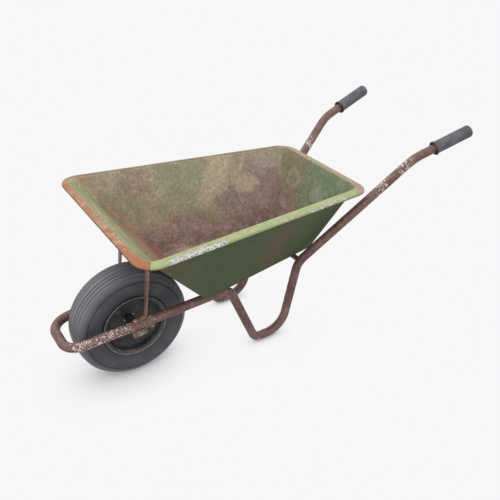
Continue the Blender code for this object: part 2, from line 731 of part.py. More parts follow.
def tyre_profile():
    """Closed section of the tyre: outside from bead to bead, then back along the inside."""
    half = TYRE_WIDTH / 2
    waist = TYRE_RADIUS - TYRE_WAIST_DROP
    flange_top = BEAD_SEAT_RADIUS + RIM_FLANGE_HEIGHT
    sweep = math.radians(142)
    outside = tyre_arc(half, TYRE_RADIUS, waist, flange_top - 0.008, 0.72, -sweep, sweep, 14)
    inside = tyre_arc(half - TYRE_WALL, TYRE_RADIUS - TREAD_THICKNESS, waist, flange_top - 0.004, 0.72,
                      sweep, -sweep, 10)
    face = RIM_WIDTH / 2 - 0.0035 - RIM_SHEET / 2 - GAP - 0.001
    low = BEAD_SEAT_RADIUS + GAP + 0.0004
    right_bead = [(-face, flange_top - 0.0005), (-face, low + 0.003), (-face + 0.003, low),
                  (BEAD_WIDTH - face, low), (BEAD_WIDTH - face + 0.001, low + 0.005)]
    left_bead = [(-across, radius) for across, radius in reversed(right_bead)]
    return outside + left_bead[::-1] + inside + right_bead[::-1]


def inner_tube_loop(shrink):
    """The tube's section, shrunk by a thickness all round."""
    half = TYRE_WIDTH / 2 - TYRE_WALL - 0.0015 - shrink
    waist = TYRE_RADIUS - TYRE_WAIST_DROP
    top = TYRE_RADIUS - TREAD_THICKNESS - 0.0012 - shrink
    low = BEAD_SEAT_RADIUS + 0.006 + shrink
    return tyre_arc(half, top, waist, low, 0.8, -math.pi, math.pi, 12)[:-1]


def build_inner_tube(parent, finish):
    bm = bmesh.new()
    for shrink in (0, INNER_TUBE_WALL):
        loop = inner_tube_loop(shrink)
        spin(bm, loop + loop[:1], WHEEL_SIDES)
    tube = add_object("inner_tube", bm, finish, parent)
    flip_inner_skin(tube)
    tool = hole("valve_hole_in_tube", (0, 0, 1), (0, VALVE_SIDE, valve_base()), VALVE_RADIUS * 0.5, 0.018, parent)
    cut(tube, tool)
    return tube


def flip_inner_skin(tube):
    """Turns the skin that faces the air inwards, so the wall between the two skins is the solid."""
    bm = bmesh.new()
    bm.from_mesh(tube.data)
    seen = set()
    skins = []
    for face in bm.faces:
        if face in seen:
            continue
        skin, stack = [], [face]
        seen.add(face)
        while stack:
            this = stack.pop()
            skin.append(this)
            for edge in this.edges:
                for other in edge.link_faces:
                    if other not in seen:
                        seen.add(other)
                        stack.append(other)
        skins.append(skin)
    smaller = min(skins, key=lambda skin: sum(f.calc_area() for f in skin))
    outward = sum(f.normal.dot(f.calc_center_median() - skin_centre(f)) for f in smaller)
    if outward > 0:
        bmesh.ops.reverse_faces(bm, faces=smaller)
    bm.to_mesh(tube.data)
    bm.free()


def skin_centre(face):
    """The middle of the tube's section nearest to a face."""
    middle = face.calc_center_median()
    waist = TYRE_RADIUS - TYRE_WAIST_DROP
    return Vector((middle.x, 0, middle.z)).normalized() * waist


def valve_base():
    """Radius from the axle at which the valve leaves the inner tube."""
    return BEAD_SEAT_RADIUS + 0.004


def build_valve(parent, finish, cap_finish, right_rim):
    """The valve stem points at the axle from the bottom of the rim, through the right pressing."""
    base = -valve_base()
    stem = [(0, 0), (0, VALVE_RADIUS * 2), (0.002, VALVE_RADIUS * 2), (0.002, VALVE_RADIUS),
            (VALVE_LENGTH, VALVE_RADIUS * 0.8), (VALVE_LENGTH, 0)]
    place = along((0, 0, 1), (0, VALVE_SIDE, base))
    add_object("valve_stem", turned(stem, BOLT_SIDES, place), finish, parent)
    cap = [(VALVE_LENGTH + GAP, 0), (VALVE_LENGTH + GAP, VALVE_CAP_RADIUS),
           (VALVE_LENGTH + 0.008, VALVE_CAP_RADIUS * 0.9), (VALVE_LENGTH + 0.009, 0)]
    add_object("valve_cap", turned(cap, BOLT_SIDES, place), cap_finish, parent)
    tool = hole("valve_hole_in_rim", (0, 0, 1), (0, VALVE_SIDE, base), VALVE_RADIUS, 0.03, parent)
    cut(right_rim, tool)


def build_rim(parent, finish, bolt_finish):
    """Two pressings back to back, held by bolts whose heads are on the left."""
    cutters = []
    half_grip = RIM_SHEET + GAP
    for k in range(RIM_BOLT_COUNT):
        turn = math.pi / 4 + k * 2 * math.pi / RIM_BOLT_COUNT
        point = Vector((RIM_BOLT_CIRCLE * math.cos(turn), half_grip, RIM_BOLT_CIRCLE * math.sin(turn)))
        matrix = along((0, -1, 0), point)
        bolt, nut = bmesh.new(), bmesh.new()
        carriage_bolt(2 * half_grip, matrix, bolt)
        hex_nut(2 * half_grip + GAP, NUT_HEIGHT, NUT_RADIUS, round_bore(BOLT_RADIUS, BOLT_SIDES), matrix, nut)
        add_object(f"rim_bolt_{k + 1}", bolt, bolt_finish, parent)
        add_object(f"rim_nut_{k + 1}", nut, bolt_finish, parent)
        cutters.append(hole(f"rim_bolt_hole_{k + 1}", (0, -1, 0), point, BOLT_RADIUS, 0.02, parent))
    halves = []
    for side, name in SIDES:
        bm = bmesh.new()
        spin(bm, rim_profile(side), WHEEL_SIDES)
        pressing = add_object("rim_" + name, bm, finish, parent)
        solidify(pressing, RIM_SHEET, 0)
        cut(pressing, *cutters)
        halves.append(pressing)
    return halves


def build_wheel(parent, paint, rubber, zinc, nylon):
    wheel = empty("wheel", (0, 0, TYRE_RADIUS), parent)
    _, right_rim = build_rim(wheel, paint, zinc)
    build_hub(wheel, paint, nylon)
    add_object("tyre", turned(tyre_profile(), WHEEL_SIDES), rubber, wheel)
    build_inner_tube(wheel, rubber)
    build_valve(wheel, rubber, nylon, right_rim)


# ---------------------------------------------------------------- assembly

def middle_of_length():
    """Halfway between the loop's front and the grips' ends, from the axle."""
    end, bend = Vector(HANDLE_END), Vector(HANDLE_BEND)
    direction = (end - bend).normalized()
    rearmost = end.x + direction.x * GRIP_END_WALL - GRIP_RADIUS * 0.75 * math.hypot(direction.y, direction.z)
    return (LOOP_REACH + TUBE_RADIUS + rearmost) / 2


def main():
    clear_scene()
    rusty = material("rusty_tube", (0.30, 0.17, 0.13), 0.75, 0.3)
    green = material("green_paint", (0.20, 0.28, 0.15), 0.6, 0.1)
    dark = material("dark_wheel_paint", (0.05, 0.05, 0.055), 0.6, 0.2)
    rubber = material("black_rubber", (0.045, 0.045, 0.05), 0.85, 0.0)
    grip = material("grey_grip_rubber", (0.10, 0.10, 0.11), 0.8, 0.0)
    zinc = material("dull_zinc", (0.45, 0.42, 0.38), 0.55, 0.8)
    nylon = material("white_nylon", (0.6, 0.58, 0.52), 0.5, 0.0)

    barrow = empty("wheelbarrow", (-middle_of_length(), 0, 0))
    frame, clearance = build_frame(barrow, rusty)
    crossbar = build_crossbar(barrow, rusty, clearance)
    tray = build_tray(barrow, green)
    struts, brackets = {}, {}
    for side, name in SIDES:
        struts[side] = build_strut(side, "strut_" + name, barrow, rusty)
        brackets[side] = build_bracket(side, "axle_bracket_" + name, barrow, rusty)
        build_grip(side, "grip_" + name, barrow, grip)
    build_bolts("strut_top", strut_top_bolts(), barrow, zinc, lambda _, side: (tray, struts[side]))
    build_bolts("bracket", bracket_bolts(), barrow, zinc, lambda label, side:
                (frame, brackets[side], struts[side]) if "front" in label else (frame, brackets[side]))
    build_bolts("floor", floor_bolts(), barrow, zinc, lambda label, _:
                (tray, frame if "front" in label else crossbar))
    build_axle(barrow, zinc)
    build_wheel(barrow, dark, rubber, zinc, nylon)


main()
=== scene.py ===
import math

import bmesh
import bpy
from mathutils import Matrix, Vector


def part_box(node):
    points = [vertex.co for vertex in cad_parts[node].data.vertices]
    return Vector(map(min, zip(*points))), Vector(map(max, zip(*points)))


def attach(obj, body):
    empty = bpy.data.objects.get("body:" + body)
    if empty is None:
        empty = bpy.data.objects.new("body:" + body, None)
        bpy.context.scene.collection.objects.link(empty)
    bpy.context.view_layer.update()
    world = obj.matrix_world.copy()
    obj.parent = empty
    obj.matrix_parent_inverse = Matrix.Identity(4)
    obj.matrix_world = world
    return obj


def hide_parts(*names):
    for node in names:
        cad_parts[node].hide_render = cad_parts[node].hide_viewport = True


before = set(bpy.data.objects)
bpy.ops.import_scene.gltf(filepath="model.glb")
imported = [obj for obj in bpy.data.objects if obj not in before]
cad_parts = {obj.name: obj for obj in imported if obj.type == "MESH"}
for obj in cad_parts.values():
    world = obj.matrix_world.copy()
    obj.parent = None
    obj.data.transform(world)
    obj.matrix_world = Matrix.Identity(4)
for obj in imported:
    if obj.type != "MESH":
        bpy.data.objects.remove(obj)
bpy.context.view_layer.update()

# ------------------------------------------------------------------ sizes, in metres

AXLE = sum(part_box("axle"), Vector()) / 2
SHEET = 0.0015

TUBE_RADIUS = 0.016
TUBE_WALL = 0.0018
TUBE_SIDES = 32
STEPS_PER_RADIAN = 16

# The frame's tube, corner by corner from a grip to the loop:
# station from the axle, across, up, bend radius
TUBE_CORNERS = [
    (-1.2487, 0.2816, 0.6985, 0.0),
    (-1.0246, 0.2497, 0.6346, 0.150),
    (-0.6119, 0.140, 0.2833, 0.090),
    (-0.5464, 0.140, 0.016, 0.085),
    (-0.4248, 0.140, 0.016, 0.040),
    (-0.3194, 0.140, 0.2785, 0.045),
    (0.241, 0.083, 0.2166, 0.060),
]

# The tray's outside: fold line, lip and floor
FOLD_FRONT = (0.0442, 0.3201, 0.6068)
FOLD_REAR = (-0.8036, 0.2200, 0.5694)
FOLD_CORNER = 0.036
LIP_OUT = 0.0297
LIP_DROP = 0.0075
LIP_HEM = 0.0045
FRONT_DRAWN_IN = 0.003
FLOOR_FRONT = (-0.210, 0.1700)
FLOOR_REAR = (-0.710, 0.0925)
FLOOR_CORNER = 0.022
FLOOR_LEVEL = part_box("tray")[0].z
CORNER_STEPS = 9

# How far the tray's creases are rounded back from their lines
FLOOR_CREASE = 0.010
FOLD_CREASE = 0.006
LIP_CREASE = 0.0025
CREASE_STEPS = 5

# The paint's own lines: the tray's mouth, and the length that its marks are spread over
MOUTH_SLOPE = 0.0441
MOUTH_HEIGHT = 0.6064
MARKS_FROM = 0.04
MARKS_RUN = 0.84

SIDEWALL_RINGS = 2400  # radians of ripple per metre of radius

GRIP_LENGTH = 0.158
GRIP_END = 0.008
GRIP_RADIUS = 0.0224
GRIP_RING_SPACING = 0.0118

CROSSBAR_REACH = 0.1262
CROSSBAR_RADIUS = 0.0100
CROSSBAR_BORE = 0.0085

SHARP_EDGE = 38  # degrees


def from_axle(station, across, up):
    """A place given by its distance ahead of the axle, across and above the floor."""
    return Vector((AXLE.x + station, across, up))


# ------------------------------------------------------------------ bench tools

def clear_choice():
    """Nothing is chosen, so that the next operator works on one piece alone."""
    if bpy.context.object and bpy.context.object.mode != "OBJECT":
        bpy.ops.object.mode_set(mode="OBJECT")
    bpy.ops.object.select_all(action="DESELECT")


def take(piece):
    """Chooses one piece and nothing else."""
    clear_choice()
    piece.select_set(True)
    bpy.context.view_layer.objects.active = piece


class Shaping:
    """Edit mode on one piece, with all of it chosen to begin with."""

    def __init__(self, piece):
        self.piece = piece

    def __enter__(self):
        take(self.piece)
        bpy.ops.object.mode_set(mode="EDIT")
        bpy.ops.mesh.select_mode(type="VERT")
        bpy.ops.mesh.select_all(action="SELECT")
        return self

    def __exit__(self, *_):
        bpy.ops.object.mode_set(mode="OBJECT")

    def unchosen(self):
        """The piece's mesh, with none of it chosen."""
        bm = bmesh.from_edit_mesh(self.piece.data)
        for item in (*bm.verts, *bm.edges, *bm.faces):
            item.select = False
        return bm

    def corners(self, test):
        """Chooses the vertices that pass a test, and the edges and faces between them."""
        bm = self.unchosen()
        for vert in bm.verts:
            vert.select = bool(test(vert))
        bm.select_flush(True)
        bmesh.update_edit_mesh(self.piece.data)

    def edges(self, test):
        """Chooses the edges that pass a test."""
        bpy.ops.mesh.select_mode(type="EDGE")
        bm = self.unchosen()
        for edge in bm.edges:
            if test(edge):
                edge.select = True
        bmesh.update_edit_mesh(self.piece.data)

    def pull(self, step):
        """Extrudes what is chosen by this step."""
        bpy.ops.mesh.extrude_region_move(TRANSFORM_OT_translate={"value": tuple(step)})


def settle(piece, name):
    """The finished piece lies at the origin, unturned, with its place in its mesh."""
    take(piece)
    bpy.ops.object.transform_apply(location=True, rotation=True, scale=True)
    piece.name = name
    piece.data.name = name
    return piece


def smooth(piece, degrees):
    """Shades the piece smooth, apart from edges sharper than this."""
    take(piece)
    bpy.ops.object.shade_smooth_by_angle(angle=math.radians(degrees))


def apply(piece, kind, **settings):
    """Adds a modifier and applies it."""
    take(piece)
    modifier = piece.modifiers.new(kind.lower(), kind)
    for key, value in settings.items():
        setattr(modifier, key, value)
    bpy.ops.object.modifier_apply(modifier=modifier.name)


def turned(name, outline, centre, steps, direction=None):
    """Turns an outline of (along, radius) points about the Y line through centre, or a direction.

    The outline is drawn from a small plane that is merged into its first point.
    """
    clear_choice()
    along, radius = outline[0]
    bpy.ops.mesh.primitive_plane_add(size=0.002, location=(0, along, radius))
    piece = bpy.context.object
    settle(piece, name)
    with Shaping(piece) as hand:
        bpy.ops.mesh.merge(type="CENTER")
        for (a0, r0), (a1, r1) in zip(outline, outline[1:]):
            hand.pull((0, a1 - a0, r1 - r0))
        bpy.ops.mesh.select_all(action="SELECT")
        bpy.ops.mesh.spin(steps=steps, angle=2 * math.pi, center=(0, 0, 0), axis=(0, 1, 0))
        bpy.ops.mesh.select_all(action="SELECT")
        bpy.ops.mesh.remove_doubles(threshold=1e-5)
        bpy.ops.mesh.normals_make_consistent(inside=False)
    if direction:
        piece.rotation_mode = "QUATERNION"
        piece.rotation_quaternion = Vector((0, 1, 0)).rotation_difference(Vector(direction))
    piece.location = centre
    return settle(piece, name)


def bent_tube(name, corners, bends):
    """A tube drawn along straight runs and spun round each bend, as a bending machine does."""
    clear_choice()
    heading = (corners[1] - corners[0]).normalized()
    turn_to = heading.to_track_quat("Z", "Y").to_euler()
    bpy.ops.mesh.primitive_circle_add(vertices=TUBE_SIDES, radius=TUBE_RADIUS,
                                      location=corners[0], rotation=turn_to)
    tube = settle(bpy.context.object, name)
    here = corners[0]
    with Shaping(tube) as hand:
        for corner, after, bend in zip(corners[1:], corners[2:], bends):
            onward = (after - corner).normalized()
            turn = heading.angle(onward)
            run = bend * math.tan(turn / 2)
            stop = corner - heading * run
            hand.pull(stop - here)
            axis = heading.cross(onward).normalized()
            centre = stop + axis.cross(heading) * bend
            steps = max(4, round(STEPS_PER_RADIAN * turn))
            bpy.ops.mesh.spin(steps=steps, angle=-turn, center=centre, axis=axis)
            here = corner + onward * run
            heading = onward
        hand.pull(corners[-1] - here)
        bpy.ops.mesh.select_all(action="SELECT")
        bpy.ops.mesh.remove_doubles(threshold=1e-6)
        bpy.ops.mesh.normals_make_consistent(inside=False)
    apply(tube, "SOLIDIFY", thickness=TUBE_WALL, offset=-1.0)
    smooth(tube, 50)
    return tube


def dressed(node, edge):
    """A copy of a CAD piece with its loose triangles joined and its edges broken by this much."""
    piece = bpy.data.objects.new(node + "_dressed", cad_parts[node].data.copy())
    bpy.context.scene.collection.objects.link(piece)
    with Shaping(piece):
        bpy.ops.mesh.remove_doubles(threshold=1e-5)
        bpy.ops.mesh.dissolve_limited(angle_limit=math.radians(1))
    apply(piece, "BEVEL", width=edge, segments=2, limit_method="ANGLE",
          angle_limit=math.radians(SHARP_EDGE))
    smooth(piece, SHARP_EDGE)
    return piece


def fit(piece, body, finish, node):
    """Puts a finished piece in place of its CAD node."""
    piece.data.materials.clear()
    piece.data.materials.append(finish)
    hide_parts(node)
    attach(piece, body)


# ------------------------------------------------------------------ finishes

def tone(red, green, blue):
    """A colour as a painter's chart gives it, 0 to 255, made linear."""
    parts = [c / 255 for c in (red, green, blue)]
    return tuple(c / 12.92 if c <= 0.04045 else ((c + 0.055) / 1.055) ** 2.4 for c in parts) + (1.0,)


class Reading:
    """A value read off the surface. Sums on readings add their Math nodes."""

    def __init__(self, finish, socket):
        self.finish = finish
        self.socket = socket

    def maths(self, operation, *terms):
        """Adds a Math node."""
        return self.finish.node("Math", {"operation": operation}, dict(enumerate(terms)))

    def other(self, output):
        """Another output of the same node."""
        return Reading(self.finish, self.socket.node.outputs[output])

    def __add__(self, term):
        return self.maths("ADD", self, term)

    def __sub__(self, term):
        return self.maths("SUBTRACT", self, term)

    def __rsub__(self, term):
        return self.maths("SUBTRACT", term, self)

    def __mul__(self, term):
        return self.maths("MULTIPLY", self, term)

    def __truediv__(self, term):
        return self.maths("DIVIDE", self, term)

    def __abs__(self):
        return self.maths("ABSOLUTE", self)

    def __or__(self, term):
        """The greater of two masks."""
        return self.maths("MAXIMUM", self, term)

    __radd__ = __add__
    __rmul__ = __mul__

    def rise(self, low, high):
        """0 below low, 1 above high, smooth between."""
        limits = {"Value": self, "From Min": low, "From Max": high}
        return self.finish.node("MapRange", {"interpolation_type": "SMOOTHSTEP"}, limits)

    def fall(self, low, high):
        """1 below low, 0 above high, smooth between."""
        return 1 - self.rise(low, high)


class Finish:
    """One surface finish, built from nodes."""

    def __init__(self, name):
        self.material = bpy.data.materials.new(name)
        self.material.use_nodes = True
        self.tree = self.material.node_tree
        self.shader = self.tree.nodes["Principled BSDF"]
        self.place = self.node("TexCoord", out="Object")
        ahead = self.node("SeparateXYZ", feeds={0: self.place})
        self.station = ahead - AXLE.x
        self.across = ahead.other(1)
        self.height = ahead.other(2)

    def node(self, kind, settings=None, feeds=None, out=0):
        """Adds a node: its settings first, then the values or readings of its sockets."""
        made = self.tree.nodes.new("ShaderNode" + kind)
        for key, value in (settings or {}).items():
            setattr(made, key, value)
        for key, value in (feeds or {}).items():
            if isinstance(value, Reading):
                self.tree.links.new(value.socket, made.inputs[key])
            else:
                made.inputs[key].default_value = value
        return Reading(self, made.outputs[out])

    def grain(self, size, detail=4.0, rough=0.55, twist=0.0, where=None):
        """Cloudy noise with features of this size in metres, from 0 to 1."""
        feeds = {"Vector": where or self.place, "Scale": 1 / size, "Detail": detail,
                 "Roughness": rough, "Distortion": twist}
        return self.node("TexNoise", feeds=feeds)

    def cells(self, size):
        """Pebbles of this size in metres: 0 at the middle of each, and more towards its edge."""
        feeds = {"Vector": self.place, "Scale": 1 / size}
        return self.node("TexVoronoi", {"feature": "F1"}, feeds, "Distance")

    def mapped(self, stretch, turn=(0, 0, 0)):
        """The place on the piece, turned by degrees and stretched, so that grain comes out as streaks."""
        turn = tuple(math.radians(a) for a in turn)
        return self.node("Mapping", feeds={"Vector": self.place, "Scale": stretch, "Rotation": turn})

    def from_axle_line(self):
        """Distance from the line that the wheel turns about."""
        out = self.node("VectorMath", {"operation": "SUBTRACT"}, {0: self.place, 1: tuple(AXLE)})
        flat = self.node("VectorMath", {"operation": "MULTIPLY"}, {0: out, 1: (1, 0, 1)})
        return self.node("VectorMath", {"operation": "LENGTH"}, {0: flat}, "Value")

    def blend(self, share, under, over):
        """The over colour laid on the under colour by a share."""
        return self.node("Mix", {"data_type": "RGBA"}, {0: share, 6: under, 7: over}, 2)

    def greyed(self, colour):
        """The same colour without its hue."""
        return self.node("RGBToBW", feeds={"Color": colour})

    def trait(self, name):
        """A number that the piece's mesh carries under this name."""
        return self.node("Attribute", {"attribute_name": name}, out="Fac")

    def colour(self, reading):
        self.tree.links.new(reading.socket, self.shader.inputs["Base Color"])

    def sheen_of(self, reading):
        self.tree.links.new(reading.socket, self.shader.inputs["Roughness"])

    def metal(self, reading):
        self.tree.links.new(reading.socket, self.shader.inputs["Metallic"])

    def relief(self, height, depth, strength):
        """Relief of this depth in metres from a height between 0 and 1."""
        bump = self.node("Bump", feeds={"Height": height, "Distance": depth, "Strength": strength})
        self.tree.links.new(bump.socket, self.shader.inputs["Normal"])


def bare_rust(name, dark, mid, light, speckle, worn=None):
    """Rusted steel: cloudy browns, dark pits, and pale chips with dark rims where it is rubbed."""
    f = Finish(name)
    broad = f.grain(0.09, 4, 0.6)
    fine = f.grain(0.014, 5, 0.62)
    grit = f.grain(0.0022, 3, 0.6)
    colour = f.blend((broad + (fine - 0.5) * 0.4).rise(0.34, 0.66), dark, mid)
    colour = f.blend(fine.rise(0.50, 0.72) * 0.6, colour, light)
    pits = f.grain(0.007, 3, 0.5, 0.6).rise(0.60, 0.68)
    colour = f.blend(pits * 0.6, colour, tone(52, 36, 34))
    where = worn(f) if worn else 0.0
    chips = f.grain(0.0065, 5, 0.62, 0.9) + where * 0.15
    flecks = chips.rise(0.665, 0.70)
    rims = chips.rise(0.61, 0.66)
    colour = f.blend(rims * where * 0.7, colour, tone(62, 42, 44))
    colour = f.blend(flecks * 0.85, colour, speckle)
    f.colour(colour)
    f.sheen_of(0.36 + fine * 0.26 - broad * 0.10)
    f.relief(fine * 0.4 + grit * 0.25 - pits * 0.5 + flecks * 0.2, 0.0007, 0.6)
    return f.material


def rubbed_frame(f):
    """Where kerbs and mud rub the frame: the left rail ahead of the axle, and spots on the handles."""
    patchy = f.grain(0.045, 3, 0.5)
    rail = f.station.rise(-0.01, 0.05) * f.across.rise(0.05, 0.08) * f.station.fall(0.21, 0.27)
    spots = 0.0
    for station, reach, side in ((-0.985, 0.032, 1), (-0.905, 0.026, 1), (-0.925, 0.022, -1)):
        spot = (abs(f.station - station) / reach).fall(0.4, 1.2) * (f.across * side).rise(0.0, 0.02)
        spots = spot | spots
    elsewhere = patchy.rise(0.56, 0.7) * 0.45
    return rail * (0.50 + patchy * 0.75) | spots * (0.55 + patchy * 0.8) | elsewhere


class TrayPaint(Finish):
    """Old green paint on pressed steel: bleached on its lip, scratched and rusted inside."""

    def __init__(self):
        super().__init__("worn_tray_paint")
        self.patchy = self.grain(0.055, 6, 0.62, 0.8)
        self.broad = self.grain(0.17, 5, 0.55, 0.5)
        self.fine = self.grain(0.011, 6, 0.68)
        self.grit = self.grain(0.0032, 4, 0.6)

        # The same clouds about zero, which carry an edge to and fro
        self.drift = self.patchy - 0.5
        self.fray = self.fine - 0.5

        # Share of the depth below the tray's mouth, and of the length back from its front
        depth = self.station * MOUTH_SLOPE + MOUTH_HEIGHT - FLOOR_LEVEL
        self.down = 1 - (self.height - FLOOR_LEVEL) / depth
        self.back = (MARKS_FROM - self.station) / MARKS_RUN

        # Nearness to the sloping rear and front walls
        run = (FLOOR_REAR[0] - FOLD_REAR[0]) / (FOLD_REAR[2] - FLOOR_LEVEL)
        rear_wall = self.height * -run + (FLOOR_REAR[0] + run * FLOOR_LEVEL)
        self.on_rear = (self.station - rear_wall).fall(0.012, 0.024)
        lean = (FOLD_FRONT[0] - FLOOR_FRONT[0]) / (FOLD_FRONT[2] - FLOOR_LEVEL)
        front_wall = self.height * lean + (FLOOR_FRONT[0] - lean * FLOOR_LEVEL)
        self.off_front = (front_wall - self.station) * (1 / math.hypot(1, lean))
        self.on_front = self.off_front.fall(0.010, 0.020)

        wander = (self.broad - 0.5) * 0.9 + self.drift * 0.55
        self.low = (self.down + wander).rise(0.50, 0.78)
        self.past = self.trait("past_fold")
        self.chipped = self.chips()
        self.colour(self.all_paint())
        self.sheen_of(0.50 + self.fine * 0.3 + self.low * 0.1)
        height = self.fine * 0.45 + self.grit * 0.3 + self.patchy * 0.25 + self.chipped * 0.25
        self.relief(height, 0.0008, 0.55)

    def two(self, dark, light):
        """A cloudy colour between two tones."""
        return self.blend(self.fine.rise(0.32, 0.68), tone(*dark), tone(*light))

    def mottled(self, low, high, under, over):
        """Patches of one cloudy colour over another."""
        return self.blend(self.patchy.rise(low, high), self.two(*under), self.two(*over))

    def patch(self, along, down, wide, tall, slant=0.0, ragged=2.2):
        """A ragged patch on the right wall, placed by shares of its length and depth."""
        u = (self.back + (self.down - down) * slant - along) / wide
        v = (self.down - down) / tall
        return (u * u + v * v + self.drift * ragged + self.fray * 0.9).fall(0.35, 1.15)

    def spot(self, across, height, radius, ragged):
        """A ragged spot on the rear wall."""
        u, v = (self.across - across) / radius, (self.height - height) / radius
        return (u * u + v * v + self.drift * ragged).fall(0.3, 1.1)

    def right_wall(self):
        """Faded green and beige with plum stains under a film of dust, a pale patch high in the middle
        that is a painted highlight, and rust towards the front.
        """
        colour = self.mottled(0.40, 0.62, ((117, 111, 86), (143, 134, 104)),
                              ((141, 124, 98), (169, 153, 127)))
        # pale is the tone of the painted highlight
        pale = self.two((167, 150, 123), (205, 188, 157))
        beige = self.two((174, 148, 123), (203, 180, 152))
        green = self.two((107, 117, 87), (132, 138, 106))
        plum = self.two((111, 80, 84), (148, 113, 112))
        grey = self.two((136, 125, 112), (165, 155, 142))
        dark = self.two((94, 63, 68), (117, 84, 87))
        for share, stain, along, down, wide, tall, slant, ragged in (
                (0.55, plum, 0.27, 0.14, 0.07, 0.16, 0.0, 2.2),
                (0.65, green, 0.46, 0.22, 0.15, 0.34, 0.0, 3.2),
                # Painted highlight: the pale patch high in the middle of the wall
                (0.55, pale, 0.62, 0.24, 0.07, 0.34, 0.25, 3.4),
                (0.8, plum, 0.85, 0.48, 0.17, 0.42, 0.0, 3.0),
                (0.6, dark, 0.66, 0.52, 0.07, 0.17, 0.0, 3.4),
                (0.6, beige, 0.765, 0.38, 0.065, 0.13, 0.0, 4.0),
                (0.6, grey, 0.90, 0.14, 0.09, 0.12, 0.0, 2.2)):
            where = self.patch(along, down, wide, tall, slant, ragged)
            colour = self.blend(where * share, colour, stain)
        colour = self.blend(0.28, colour, self.two((123, 112, 94), (149, 136, 116)))
        front = self.back.fall(0.02, 0.11) * self.patchy.rise(0.35, 0.6)
        return self.blend(front * 0.7, colour, self.two((134, 87, 73), (165, 113, 91)))

    def rear_wall(self):
        """Darker green, brown to the right, with a pale ring and a smear."""
        colour = self.mottled(0.42, 0.62, ((84, 102, 74), (105, 121, 90)),
                              ((93, 106, 79), (122, 132, 102)))
        brown = self.across.fall(-0.09, -0.02) * (0.55 + self.patchy * 0.6)
        colour = self.blend(brown, colour, self.two((105, 96, 74), (131, 119, 94)))
        ring = self.spot(-0.115, 0.478, 0.045, 0.8) - self.spot(-0.115, 0.478, 0.028, 0.5) * 0.7
        colour = self.blend(ring * 0.6, colour, self.two((140, 130, 106), (161, 153, 130)))
        smear = self.spot(0.035, 0.470, 0.036, 5.0)
        return self.blend(smear * 0.5, colour, self.two((138, 135, 119), (159, 156, 141)))

    def front_wall(self):
        """Streaky light green with tan patches."""
        streaks = self.grain(0.012, 4, 0.6, 0.3, self.mapped(stretch=(1, 0.12, 1)))
        colour = self.blend(streaks.rise(0.4, 0.62), tone(110, 127, 83), tone(148, 155, 108))
        tan = self.two((143, 118, 85), (169, 143, 105))
        return self.blend(self.patchy.rise(0.5, 0.66) * 0.5, colour, tan)

    def inside(self):
        """The walls' own colours, with dried mud low down, rusted creases, scuffs and pits."""
        left_wall = self.mottled(0.42, 0.60, ((104, 111, 84), (132, 134, 105)),
                                 ((130, 109, 92), (159, 139, 115)))
        colour = self.blend(self.across.rise(-0.02, 0.05), self.right_wall(), left_wall)
        colour = self.blend(self.on_rear, colour, self.rear_wall())
        colour = self.blend(self.on_front, colour, self.front_wall())
        mud = self.mottled(0.40, 0.64, ((104, 78, 74), (133, 105, 97)),
                           ((128, 101, 94), (159, 132, 121)))
        colour = self.blend(self.low * 0.9, colour, mud)
        near_front = (abs(self.off_front) + self.fray * 0.03).fall(0.006, 0.030)
        crease = near_front * self.down.rise(0.10, 0.35)
        foot = self.on_front * (self.down + self.fray * 0.2).rise(0.72, 0.92)
        colour = self.blend((crease | foot) * 0.6, colour, self.two((117, 63, 61), (148, 90, 84)))
        swirls = self.grain(0.016, 6, 0.72, 2.6)
        calm = 1 - self.on_rear * 0.6
        pale_scuffs, dark_scuffs = swirls.rise(0.54, 0.66), swirls.fall(0.34, 0.46)
        colour = self.blend(pale_scuffs * calm * 0.40, colour, self.greyed(colour) * 1.25)
        colour = self.blend(dark_scuffs * calm * 0.55, colour, self.greyed(colour) * 0.66)
        specks = (self.grit + self.drift * 0.3).rise(0.58, 0.66)
        colour = self.blend(specks * calm * 0.5, colour, tone(201, 185, 159))
        pits = (self.grain(0.005, 4, 0.6) + (self.broad - 0.5) * 0.3).rise(0.60, 0.68)
        colour = self.blend(pits * 0.55, colour, tone(81, 55, 54))
        scores = self.grain(0.0035, 3, 0.6, 0.25, self.mapped(stretch=(1, 1, 0.10), turn=(0, 14, 0)))
        scored = self.patch(0.31, 0.12, 0.07, 0.26, ragged=1.0) | self.patch(0.60, 0.35, 0.22, 0.4) * 0.4
        return self.blend((scores.rise(0.62, 0.68) * scored) * 0.8, colour, tone(220, 210, 192))

    def outside(self):
        """Dark green underneath, kept darker than the inside partly as painted shade, browner to the
        front, with a rusty stain, painted shade at the bottom and shade under the lip.
        """
        # The greens here are partly the paint and partly painted shade on the sheet's downward-facing
        # outside
        colour = self.blend(self.broad.rise(0.35, 0.65), self.two((44, 57, 28), (57, 69, 38)),
                            self.two((51, 63, 34), (64, 76, 45)))
        brown = (self.back + self.drift * 0.25).fall(0.08, 0.22)
        colour = self.blend(brown * 0.8, colour, self.two((63, 50, 26), (79, 66, 38)))
        band = (abs(self.back - 0.63) / 0.06) + self.drift * 2.8 + self.fray * 1.6
        stain = band.fall(0.3, 1.4) * self.down.rise(0.05, 0.35)
        colour = self.blend(stain * 0.5, colour, self.two((75, 47, 32), (94, 63, 45)))
        # Painted shade: darker towards the bottom of the outside
        colour = self.blend(self.down.rise(0.90, 1.0) * 0.6, colour, tone(32, 32, 21))
        under_lip = self.down.fall(0.06, 0.14)
        colour = self.blend(under_lip * 0.55, colour, tone(47, 35, 24))
        rust = (self.patchy + self.fine * 0.4).rise(0.80, 0.88)
        return self.blend(rust * 0.6, colour, self.two((77, 49, 32), (96, 64, 45)))

